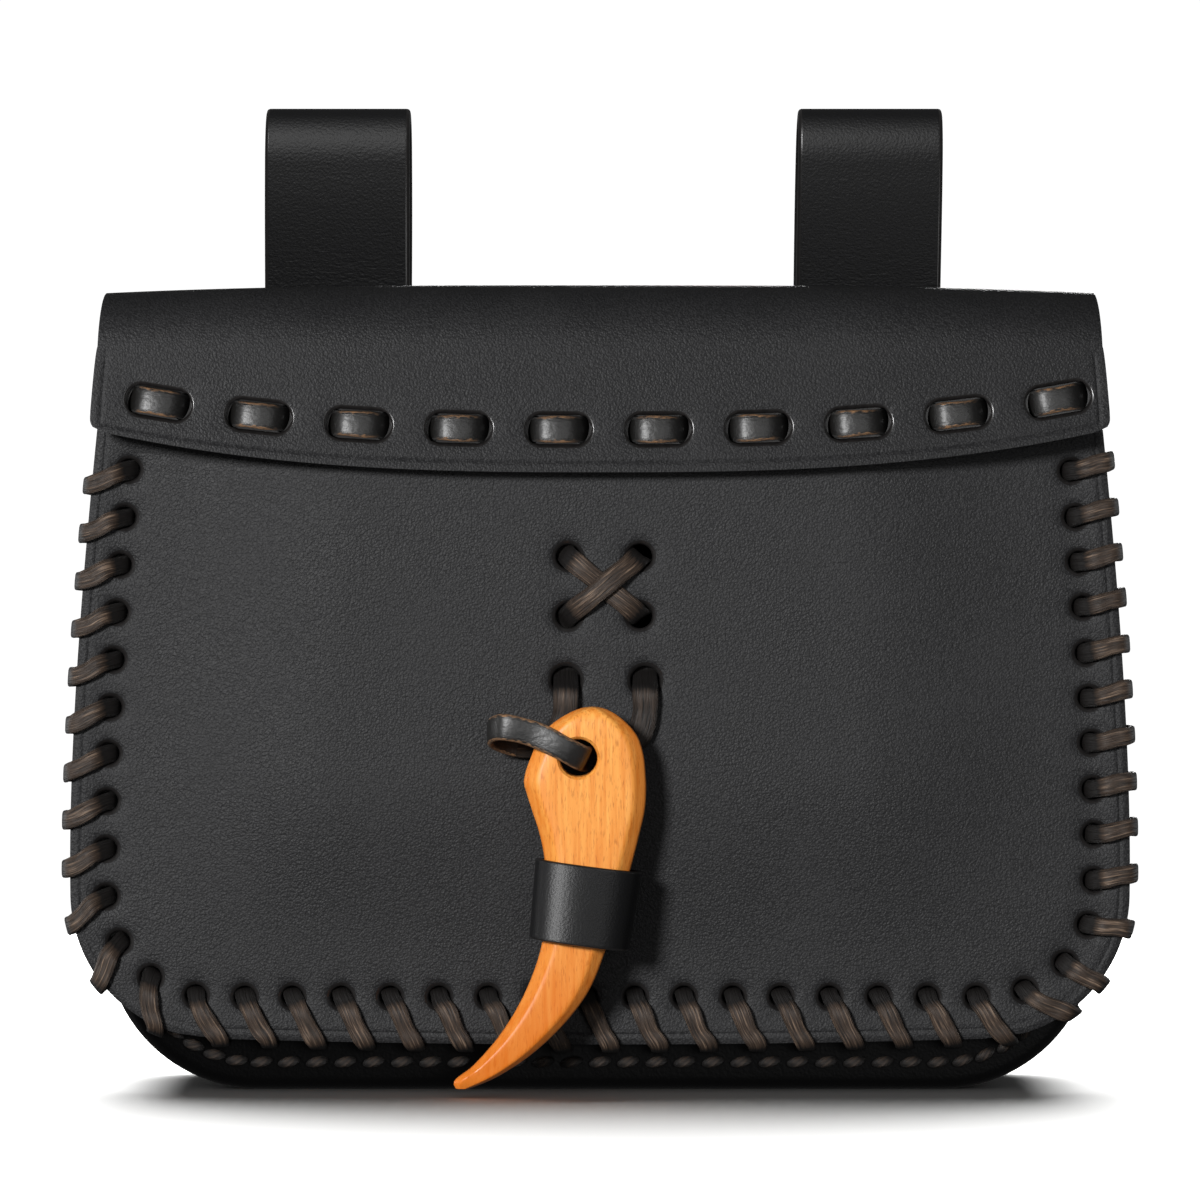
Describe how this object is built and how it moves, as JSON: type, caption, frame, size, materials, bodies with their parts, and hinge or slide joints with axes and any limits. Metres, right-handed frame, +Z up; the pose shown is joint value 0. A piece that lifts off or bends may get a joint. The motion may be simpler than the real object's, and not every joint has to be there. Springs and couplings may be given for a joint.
{
  "type": "belt bag",
  "caption": "Black leather belt pouch with a short laced flap, whip-laced front rim, belt loops behind and a wooden tusk toggle hanging on a thong.",
  "frame": {"origin": "middle of the bounding box on the surface that the bag stands on", "axes": "+X to the right seen from the front, +Y from the front to the back, +Z up"},
  "size_m": [0.2032, 0.0758, 0.1899],
  "materials": {
    "black_leather": "fine pebbled black cowhide with a soft sheen and burnished edges",
    "thong_leather": "smooth dark strip with raw brown edges",
    "waxed_lace": "flat fibrous brown lace, waxed",
    "toggle_wood": "orange-brown hardwood, rubbed smooth and oiled"
  },
  "bodies": {
    "bag": {"front_panel": "black_leather", "gusset": "black_leather", "back_flap": "black_leather", "belt_loop_left": "black_leather", "belt_loop_right": "black_leather", "edge_lace": "waxed_lace", "flap_lace": "waxed_lace", "cross_lace": "waxed_lace", "toggle_thong": "thong_leather"},
    "hanging_toggle": {"toggle": "toggle_wood", "toggle_sleeve": "black_leather"}
  },
  "joints": [
    {"name": "toggle_swing", "type": "hinge", "parent": "bag", "child": "hanging_toggle", "pos_m": [-0.00396, -0.03185, 0.0634], "axis": [0, 1, 0], "range_deg": [-20, 20]}
  ]
}
